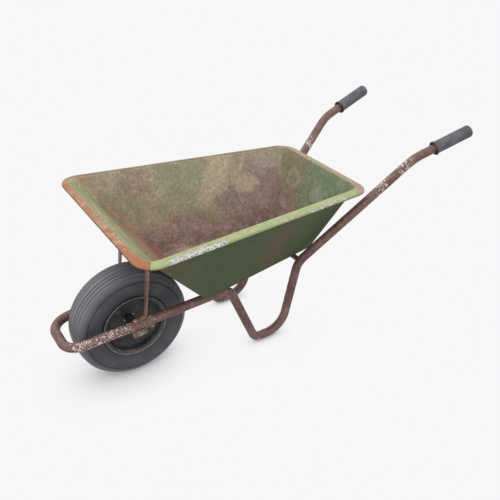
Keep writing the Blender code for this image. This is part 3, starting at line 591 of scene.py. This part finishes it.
    def chips(self):
        """Where the lip's paint has chipped away, along its left edge."""
        x = self.station
        ahead = x.rise(-0.225, -0.205) * x.fall(-0.03, 0.0)
        middle = x.rise(-0.49, -0.47) * x.fall(-0.44, -0.42) * 0.5
        behind = x.rise(-0.78, -0.70) * x.fall(-0.54, -0.50) * 0.62
        reach = (ahead | middle | behind) * self.across.rise(0.0, 0.02)
        rag = self.grain(0.011, 5, 0.68, 0.8)
        return (reach * self.past.rise(0.002, 0.024) * 0.42 + rag).rise(0.76, 0.80) * reach.rise(0.05, 0.2)

    def front_lip(self):
        """Orange primer, brightest on the left, with a hem darkened partly by rust and partly as painted
        shade, and some green left by the fold.
        """
        orange = self.mottled(0.42, 0.6, ((134, 83, 51), (148, 97, 65)),
                              ((138, 104, 76), (155, 118, 86)))
        bright = (self.across + self.drift * 0.2).rise(0.20, 0.27)
        orange = self.blend(bright * 0.7, orange, self.two((136, 71, 36), (152, 85, 47)))
        # The hem: dark brown, partly rust and partly painted shade
        orange = self.blend(self.past.rise(0.026, 0.029), orange, tone(71, 41, 28))
        ragged = (self.past + self.fray * 0.010 + self.drift * 0.012).fall(0.006, 0.011)
        ragged = ragged * self.across.fall(0.22, 0.29)
        orange = self.blend(ragged * 0.9, orange, self.two((101, 107, 69), (136, 132, 96)))
        white = (self.grain(0.008, 4, 0.62) + self.drift * 0.5).rise(0.62, 0.66)
        white = white * self.across.fall(0.18, 0.24)
        return self.blend(white * 0.6, orange, tone(186, 168, 149))

    def lip(self):
        """Pale green on the left, brown on the right, orange in front, pink behind, darker along its outer
        edge with dirt and painted shade, and chipped.
        """
        left = self.mottled(0.38, 0.6, ((127, 143, 95), (145, 157, 109)),
                            ((143, 148, 104), (157, 160, 118)))
        right = self.mottled(0.46, 0.58, ((97, 74, 50), (121, 97, 69)),
                             ((101, 101, 67), (122, 121, 83)))
        colour = self.blend(self.across.rise(-0.02, 0.02), right, left)
        in_front = (self.station - self.past * 0.5).rise(0.0260, 0.0275)
        colour = self.blend(in_front, colour, self.front_lip())
        # Darker along the lip's outer edge: partly dirt, partly painted shade by the turned-down hem
        dirt_and_shade = self.past.rise(0.023, 0.030) * self.fine.rise(0.3, 0.6)
        colour = self.blend(dirt_and_shade * 0.5, colour, tone(104, 92, 60))
        behind = (self.station + self.fray * 0.03).fall(-0.800, -0.770)
        colour = self.blend(behind, colour, self.two((136, 113, 93), (157, 136, 113)))
        bare = (self.grain(0.0052, 4, 0.62, 0.6) - self.past * 2.5).rise(0.37, 0.41)
        steel = self.blend(bare, tone(81, 65, 69), tone(180, 178, 175))
        colour = self.blend(self.chipped, colour, steel)
        specks = (self.grit + self.drift * 0.25).rise(0.63, 0.70) * 0.6
        return self.blend(specks * (1 - self.chipped), colour, self.two((101, 81, 58), (116, 97, 73)))

    def all_paint(self):
        """The lip's paint past the fold, and the inside's or the outside's elsewhere."""
        colour = self.blend(self.trait("upper_side"), self.outside(), self.inside())
        on_lip = self.past.rise(-0.0015, 0.0010) * self.trait("upper_side")
        return self.blend(on_lip, colour, self.lip())


def tyre_finish():
    """Weathered tyre rubber: lighter grey on the crown, partly dust and partly painted highlight, with
    painted shade low on the sidewall by the rim.
    """
    f = Finish("weathered_rubber")
    radius = f.from_axle_line()
    broad = f.grain(0.07, 4, 0.55)
    fine = f.grain(0.006, 5, 0.7)
    colour = f.blend(broad.rise(0.35, 0.68), tone(54, 53, 58), tone(70, 69, 75))
    colour = f.blend(fine.rise(0.5, 0.75) * 0.4, colour, tone(92, 90, 96))
    # Lighter on the crown: partly dust, partly a painted highlight where the tread faces the light
    dust_and_sheen = radius.rise(0.168, 0.196) * (0.45 + fine * 0.9)
    colour = f.blend(dust_and_sheen * 0.55, colour, tone(126, 124, 132))
    # Painted shade: darker low on the sidewall, next to the rim
    colour = f.blend(radius.fall(0.118, 0.146) * 0.5, colour, tone(40, 39, 42))
    f.colour(colour)
    f.sheen_of(0.46 + fine * 0.25)
    rings = f.node("Math", {"operation": "SINE"}, {0: radius * SIDEWALL_RINGS})
    rings = rings * radius.fall(0.160, 0.172)
    f.relief(fine * 0.5 + rings * 0.12, 0.0005, 0.6)
    return f.material


def rim_finish():
    """Dull dark paint on the rim, with a light grey ring on its flange that is partly scuffs and partly a
    painted highlight.
    """
    f = Finish("rim_paint_scuffs_and_highlight")
    radius = f.from_axle_line()
    broad = f.grain(0.05, 4, 0.55)
    fine = f.grain(0.007, 5, 0.65)
    colour = f.blend(broad.rise(0.4, 0.65), tone(44, 43, 46), tone(60, 58, 62))
    # Light grey ring on the flange's curl: partly scuffs, partly a painted highlight
    scuff_and_highlight = radius.rise(0.1085, 0.1115) * fine.rise(0.36, 0.5)
    colour = f.blend(scuff_and_highlight * 0.85, colour, tone(136, 134, 136))
    rust = (broad + fine * 0.5).rise(0.83, 0.92)
    colour = f.blend(rust * 0.6, colour, tone(96, 72, 60))
    f.colour(colour)
    f.sheen_of(0.45 + fine * 0.2 - scuff_and_highlight * 0.1)
    f.relief(fine * 0.6 + broad * 0.3, 0.0004, 0.5)
    return f.material


def grip_finish():
    """Moulded grip rubber: fine pebbling, rubbed shiny and dusty in places."""
    f = Finish("grip_rubber")
    pebble = f.cells(0.0022)
    fine = f.grain(0.005, 5, 0.65)
    broad = f.grain(0.04, 3)
    colour = f.blend(broad.rise(0.35, 0.65), tone(66, 67, 73), tone(86, 87, 93))
    colour = f.blend(fine.rise(0.5, 0.72) * 0.5, colour, tone(112, 112, 117))
    f.colour(colour)
    f.sheen_of(0.6 + fine * 0.25)
    f.relief(pebble * 0.5 + fine * 0.5, 0.0005, 0.6)
    return f.material


def zinc_finish(name):
    """Dull zinc plate with rust creeping over it."""
    f = Finish(name)
    broad = f.grain(0.012, 4, 0.6)
    fine = f.grain(0.002, 4, 0.6)
    rust = (broad + (fine - 0.5) * 0.6).rise(0.46, 0.60)
    colour = f.blend(fine, tone(138, 132, 122), tone(178, 172, 160))
    colour = f.blend(rust * 0.9, colour, tone(112, 80, 60))
    f.colour(colour)
    f.sheen_of(0.42 + rust * 0.4)
    f.metal(0.75 - rust * 0.7)
    f.relief(fine * 0.5 + rust * 0.5, 0.0003, 0.6)
    return f.material


def moulded(name, dark, light):
    """Plain moulded plastic or rubber with grime in it."""
    f = Finish(name)
    grime = f.grain(0.015, 5, 0.6)
    fine = f.grain(0.004, 3)
    f.colour(f.blend(grime.rise(0.35, 0.65), dark, light))
    f.sheen_of(0.45 + grime * 0.3)
    f.relief(fine, 0.0002, 0.4)
    return f.material


# ------------------------------------------------------------------ pieces

def press_tray():
    """The tray, from its lip's outline down: lip, fold, walls and floor, then the sheet's wall."""
    taper = (FOLD_FRONT[1] - FOLD_REAR[1]) / (FOLD_FRONT[0] - FOLD_REAR[0])
    tilt = (FOLD_FRONT[2] - FOLD_REAR[2]) / (FOLD_FRONT[0] - FOLD_REAR[0])
    widen = LIP_OUT * math.hypot(1, taper)
    fold = {1: Vector(FOLD_FRONT), -1: Vector(FOLD_REAR)}
    floor = {1: Vector((*FLOOR_FRONT, FLOOR_LEVEL)), -1: Vector((*FLOOR_REAR, FLOOR_LEVEL))}
    turn = math.pi / 2 - math.atan(taper)
    middle = AXLE.x + (FOLD_FRONT[0] + FOLD_REAR[0]) / 2

    def off_fold(vert):
        """How far a vertex is above the line that the fold slopes along."""
        return vert.co.z - (FOLD_REAR[2] + (vert.co.x - AXLE.x - FOLD_REAR[0]) * tilt)

    def on_floor(vert):
        return abs(vert.co.z - FLOOR_LEVEL) < 1e-5

    def round_off(width, steps):
        bpy.ops.mesh.bevel(offset=width, segments=steps, profile=0.5, affect="EDGES")

    clear_choice()
    bpy.ops.mesh.primitive_plane_add(size=2, location=(middle, 0, 0))
    tray = settle(bpy.context.object, "pressed_tray")
    with Shaping(tray) as hand:
        for end in (1, -1):
            step = Vector((end * LIP_OUT, widen + end * LIP_OUT * taper, end * LIP_OUT * tilt))
            outer = fold[end] + step
            for side in (1, -1):
                hand.corners(lambda v: (v.co.x - middle) * end > 0.1 and v.co.y * side > 0.1
                             and abs(v.co.z) < 1e-6)
                start = Vector((middle + end, side, 0))
                goal = Vector((AXLE.x + outer.x, side * outer.y, outer.z))
                bpy.ops.transform.translate(value=goal - start)
        for end in (1, -1):
            half_angle = (turn if end == 1 else math.pi - turn) / 2
            hand.corners(lambda v: (v.co.x - middle) * end > 0)
            bpy.ops.mesh.bevel(offset=(FOLD_CORNER + LIP_OUT) / math.tan(half_angle),
                               segments=CORNER_STEPS, profile=0.5, affect="VERTICES")
        bpy.ops.mesh.select_all(action="SELECT")
        bpy.ops.mesh.select_mode(type="FACE")
        bpy.ops.mesh.inset(thickness=LIP_OUT)
        hand.pull((0, 0, -0.3))
        bpy.ops.transform.resize(value=(1, 1, 0), center_override=(middle, 0, FLOOR_LEVEL))
        bpy.ops.mesh.select_mode(type="VERT")
        shrink = FLOOR_CORNER / FOLD_CORNER
        for end in (1, -1):
            for side in (1, -1):
                hand.corners(lambda v: on_floor(v) and (v.co.x - middle) * end > 0
                             and v.co.y * side > 0)
                old = from_axle(fold[end].x, side * fold[end].y, FLOOR_LEVEL)
                new = from_axle(floor[end].x, side * floor[end].y, FLOOR_LEVEL)
                bpy.ops.transform.resize(value=(shrink, shrink, 1), center_override=old)
                bpy.ops.transform.translate(value=new - old)
        hand.corners(lambda v: v.is_boundary)
        bpy.ops.transform.translate(value=(0, 0, -LIP_DROP))
        hand.corners(lambda v: v.is_boundary and v.co.x > AXLE.x + FOLD_FRONT[0] + 0.004)
        bpy.ops.transform.translate(value=(-FRONT_DRAWN_IN, 0, 0))
        hand.edges(lambda e: e.is_boundary)
        hand.pull((0, 0, -LIP_HEM))
        hand.edges(lambda e: all(on_floor(v) for v in e.verts))
        round_off(FLOOR_CREASE, CREASE_STEPS)
        hand.edges(lambda e: all(abs(off_fold(v)) < 2e-3 for v in e.verts))
        round_off(FOLD_CREASE, CREASE_STEPS)
        hand.edges(lambda e: all(abs(off_fold(v) + LIP_DROP) < 1e-3 for v in e.verts))
        round_off(LIP_CREASE, 3)
        # The long edges of the walls and the lip are cut, so that marks on them stay fine
        hand.edges(lambda e: e.calc_length() > 0.12
                   and any(v.co.z > FLOOR_LEVEL + 0.02 for v in e.verts))
        bpy.ops.mesh.subdivide(number_cuts=15)
    apply(tray, "SOLIDIFY", thickness=SHEET, offset=1.0, use_even_offset=True)
    smooth(tray, 50)
    mark_tray(tray, taper, tilt)
    return tray


def mark_tray(tray, taper, tilt):
    """Notes each face's side of the sheet, and how far past the fold each vertex lies."""
    mesh = tray.data
    upper = mesh.attributes.new("upper_side", "FLOAT", "FACE")
    for face, item in zip(mesh.polygons, upper.data):
        item.value = 1.0 if face.normal.z > 0.02 else 0.0
    past = mesh.attributes.new("past_fold", "FLOAT", "POINT")
    lean = math.hypot(1, taper)
    for vert, item in zip(mesh.vertices, past.data):
        x, y = vert.co.x - AXLE.x, abs(vert.co.y)
        ahead = x - FOLD_FRONT[0]
        behind = FOLD_REAR[0] - x
        beside = (y - FOLD_REAR[1] - (x - FOLD_REAR[0]) * taper) / lean
        lengthways = max(ahead, behind) + FOLD_CORNER
        sideways = beside + FOLD_CORNER
        if lengthways > 0 and sideways > 0:
            item.value = math.hypot(lengthways, sideways) - FOLD_CORNER
        else:
            item.value = max(lengthways, sideways) - FOLD_CORNER


def bend_frame():
    """The left half's corners and their mirror, bent as one tube."""
    left = [from_axle(x, y, z) for x, y, z, _ in TUBE_CORNERS]
    right = [Vector((p.x, -p.y, p.z)) for p in reversed(left)]
    bends = [bend for *_, bend in TUBE_CORNERS[1:]]
    return bent_tube("bent_frame", left + right, bends + bends[::-1])


def turn_tyre():
    """Ribbed crown, round shoulders, plain sidewalls and a bead ridge."""
    outer = [(0.0, 0.2000), (0.0075, 0.1999)]
    for groove, top in ((0.0105, 0.1997), (0.0245, 0.1988), (0.0385, 0.1965)):
        outer += [(groove - 0.0022, top + 0.0002), (groove - 0.0012, top - 0.0034),
                  (groove + 0.0012, top - 0.0036), (groove + 0.0022, top - 0.0004)]
    outer += [(0.0450, 0.1938), (0.0492, 0.1902), (0.0493, 0.1880), (0.0510, 0.1864),
              (0.0530, 0.1862), (0.0554, 0.1818), (0.0574, 0.1766), (0.0586, 0.1716),
              (0.0567, 0.1704), (0.0569, 0.1688), (0.0597, 0.1680), (0.0608, 0.1620),
              (0.0614, 0.1540), (0.0610, 0.1460), (0.0598, 0.1380), (0.0580, 0.1310),
              (0.0562, 0.1255), (0.0556, 0.1222), (0.0560, 0.1205), (0.0553, 0.1188),
              (0.0535, 0.1175), (0.0528, 0.1140), (0.0522, 0.1100), (0.0440, 0.1022)]
    inner = [(0.0400, 0.1030), (0.0410, 0.1120), (0.0500, 0.1300), (0.0545, 0.1500),
             (0.0530, 0.1700), (0.0430, 0.1830), (0.0250, 0.1890), (0.0, 0.1900)]

    def other(points):
        """The same points on the right side, in the opposite order."""
        return [(-y, r) for y, r in reversed(points)]

    outline = other(outer) + outer[1:] + inner + other(inner)[1:]
    outline.append(outline[0])
    tyre = turned("barrow_tyre", outline, AXLE, steps=144)
    smooth(tyre, 50)
    return tyre


def turn_rim(side, node):
    """One pressing: disc, well, bead seat and rolled flange. Bolts fill its holes, so it has none."""
    outline = [(0.0013, 0.0187), (0.0013, 0.064), (0.0020, 0.0668), (0.0040, 0.0700), (0.0075, 0.0752),
               (0.0160, 0.0832), (0.0220, 0.0885), (0.0270, 0.0935), (0.0310, 0.0975), (0.0345, 0.0992),
               (0.0400, 0.1002), (0.0500, 0.1005), (0.0525, 0.1012), (0.0536, 0.1030), (0.0540, 0.1060),
               (0.0544, 0.1090), (0.0556, 0.1108), (0.0572, 0.1117), (0.0592, 0.1119), (0.0600, 0.1113)]
    rim = turned(node + "_pressing", [(side * y, r) for y, r in outline], AXLE, steps=96)
    apply(rim, "SOLIDIFY", thickness=0.002, offset=0.0)
    smooth(rim, 40)
    return rim


def mould_grip(side, node):
    """A rubber sleeve with a belled mouth, a rolled collar and a domed end."""
    end, bend = (from_axle(x, side * y, z) for x, y, z, _ in TUBE_CORNERS[:2])
    mouth = GRIP_END - GRIP_LENGTH
    outline = [(0.0003, 0.0), (0.0003, 0.0165), (mouth + 0.016, 0.0165), (mouth + 0.010, 0.0188),
               (mouth + 0.002, 0.0218), (mouth + 0.0004, 0.0230), (mouth, 0.0242),
               (mouth + 0.0008, 0.0251), (mouth + 0.0025, 0.0255), (mouth + 0.0050, 0.0254),
               (mouth + 0.0064, 0.0244), (mouth + 0.0074, 0.0230), (mouth + 0.0095, GRIP_RADIUS)]
    first_ring, last_ring = mouth + 0.020, -0.012
    ring = first_ring
    while ring < last_ring:
        outline += [(ring, GRIP_RADIUS), (ring + 0.0007, 0.0219), (ring + 0.0015, GRIP_RADIUS)]
        ring += GRIP_RING_SPACING
    outline += [(0.0010, GRIP_RADIUS), (0.0040, 0.0219), (0.0062, 0.0205), (0.0075, 0.0184),
                (0.0080, 0.0155), (0.0080, 0.0090), (0.0074, 0.0080), (0.0074, 0.0)]
    grip = turned(node + "_sleeve", outline, end, steps=64, direction=end - bend)
    smooth(grip, 50)
    return grip


def turn_hub():
    """The hub's tube, turned to the CAD piece's length and radii with its outer edges broken."""
    edge = 0.0006
    points = [v.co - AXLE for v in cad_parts["hub_tube"].data.vertices]
    radii = [math.hypot(v.x, v.z) for v in points]
    along = [v.y for v in points]
    outer, inner = max(radii), min(radii)
    low, high = min(along), max(along)
    outline = [(low, inner), (low, outer - edge), (low + edge, outer), (high - edge, outer),
               (high, outer - edge), (high, inner), (low, inner)]
    hub = turned("hub_tube_turned", outline, AXLE, steps=48)
    smooth(hub, 40)
    return hub


def turn_crossbar():
    """The crossbar under the floor, drawn on to meet the tubes."""
    low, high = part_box("crossbar")
    middle = (low + high) / 2
    reach, outer, inner = CROSSBAR_REACH, CROSSBAR_RADIUS, CROSSBAR_BORE
    outline = [(-reach, inner), (-reach, outer), (reach, outer), (reach, inner), (-reach, inner)]
    bar = turned("crossbar_turned", outline, middle, steps=48)
    smooth(bar, 40)
    return bar


# ------------------------------------------------------------------ assembly

rust = bare_rust("rusty_tube", tone(84, 58, 52), tone(112, 82, 74), tone(134, 102, 94),
                 tone(214, 196, 188), rubbed_frame)
strap_rust = bare_rust("rusty_strap", tone(96, 76, 62), tone(134, 104, 84), tone(160, 130, 106),
                       tone(196, 176, 158))
bracket_rust = bare_rust("rusty_bracket", tone(84, 66, 54), tone(120, 94, 74), tone(150, 124, 98),
                         tone(190, 172, 150))
tray_paint = TrayPaint().material
tyre_rubber = tyre_finish()
rim_paint = rim_finish()
grip_rubber = grip_finish()
zinc = zinc_finish("rusting_zinc")
painted_bolt = moulded("painted_over_bolt", tone(60, 61, 66), tone(84, 84, 88))
axle_zinc = zinc_finish("axle_zinc")
nylon = moulded("grimy_nylon", tone(88, 84, 78), tone(122, 118, 110))
black_rubber = moulded("black_rubber", tone(30, 30, 31), tone(48, 48, 50))

fit(press_tray(), "barrow", tray_paint, "tray")
fit(bend_frame(), "barrow", rust, "frame_tube")
fit(turn_crossbar(), "barrow", rust, "crossbar")
fit(turn_tyre(), "wheel", tyre_rubber, "tyre")
for side, name in ((1, "left"), (-1, "right")):
    fit(turn_rim(side, "rim_" + name), "wheel", rim_paint, "rim_" + name)
    fit(mould_grip(side, "grip_" + name), "barrow", grip_rubber, "grip_" + name)
    strut, bracket = "strut_" + name, "axle_bracket_" + name
    fit(dressed(strut, 0.0005), "barrow", strap_rust, strut)
    fit(dressed(bracket, 0.0005), "barrow", bracket_rust, bracket)
fit(turn_hub(), "wheel", rim_paint, "hub_tube")

# Fasteners, axle and bushes
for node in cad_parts:
    if node.startswith(("strut_top", "bracket_", "floor_", "rim_bolt", "rim_nut")):
        on_wheel = node.startswith("rim")
        finish = painted_bolt if on_wheel else zinc
        fit(dressed(node, 0.0004), "wheel" if on_wheel else "barrow", finish, node)
    elif node.startswith("axle") and "bracket" not in node:
        fit(dressed(node, 0.0005), "barrow", axle_zinc, node)
    elif node.startswith("bush"):
        fit(dressed(node, 0.0004), "wheel", nylon, node)
fit(dressed("valve_stem", 0.0003), "wheel", black_rubber, "valve_stem")
fit(dressed("valve_cap", 0.0003), "wheel", nylon, "valve_cap")

# The inner tube is out of sight and stays as the CAD has it
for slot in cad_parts["inner_tube"].material_slots:
    slot.material = black_rubber

# ------------------------------------------------------------------ floor, light and camera

FLOOR_SIZE = 60
FLOOR_GLOW = 0.93
FLOOR_SHADE = (0.30, 0.30, 0.31, 1)
CONTACT_REACH = 0.24
WHITE = (1, 1, 1, 1)
BLACK = (0, 0, 0, 1)
SKY = {"From Min": -0.5, "From Max": 0.9, "To Min": 0.55, "To Max": 1.50}
LAMPS_AIM = Vector((0, 0, 0.3))
CAMERA_PLACE = from_axle(0.5739, 1.6527, 1.5261)
CAMERA_TURN = (58.148, 0.045, 147.068)

clear_choice()
bpy.ops.mesh.primitive_plane_add(size=FLOOR_SIZE, location=(0, 0, 0))
ground = bpy.context.object
ground.name = "studio_floor"
paper = Finish("pale_floor")
paper.shader.inputs["Base Color"].default_value = BLACK
paper.shader.inputs["Roughness"].default_value = 1.0
paper.shader.inputs["Specular IOR Level"].default_value = 0.0
paper.shader.inputs["Emission Strength"].default_value = FLOOR_GLOW
# The floor glows evenly, with painted contact shadows where ambient occlusion finds the barrow within
# CONTACT_REACH
nearby = paper.node("AmbientOcclusion", {"samples": 16}, {"Distance": CONTACT_REACH}, 1)
glow_and_painted_shadow = paper.blend(nearby.rise(0.10, 0.92), FLOOR_SHADE, WHITE)
paper.tree.links.new(glow_and_painted_shadow.socket, paper.shader.inputs["Emission Color"])
ground.data.materials.append(paper.material)
ground.visible_glossy = False

world = bpy.data.worlds.new("soft_studio")
bpy.context.scene.world = world
world.use_nodes = True
sky = world.node_tree
upward = sky.nodes.new("ShaderNodeTexCoord")
split = sky.nodes.new("ShaderNodeSeparateXYZ")
fade = sky.nodes.new("ShaderNodeMapRange")
for limit, value in SKY.items():
    fade.inputs[limit].default_value = value
sky.nodes["Background"].inputs["Color"].default_value = WHITE
sky.links.new(upward.outputs["Generated"], split.inputs[0])
sky.links.new(split.outputs["Z"], fade.inputs["Value"])
sky.links.new(fade.outputs[0], sky.nodes["Background"].inputs["Strength"])


def softbox(name, place, size, power):
    """A round lamp of this width in metres and power in watts, turned to the barrow."""
    bpy.ops.object.light_add(type="AREA", location=place)
    lamp = bpy.context.object
    lamp.name = name
    lamp.data.shape = "DISK"
    lamp.data.size = size
    lamp.data.energy = power
    lamp.rotation_euler = (LAMPS_AIM - Vector(place)).to_track_quat("-Z", "Y").to_euler()


softbox("key_softbox", (1.2, -1.2, 3.4), size=2.4, power=30)
softbox("fill_softbox", (2.2, 2.2, 2.0), size=2.6, power=10)

bpy.ops.object.camera_add(location=CAMERA_PLACE, rotation=[math.radians(a) for a in CAMERA_TURN])
camera = bpy.context.object
camera.data.sensor_width = 36
camera.data.lens = 45.0
bpy.context.scene.camera = camera
bpy.context.scene.view_settings.view_transform = "Standard"
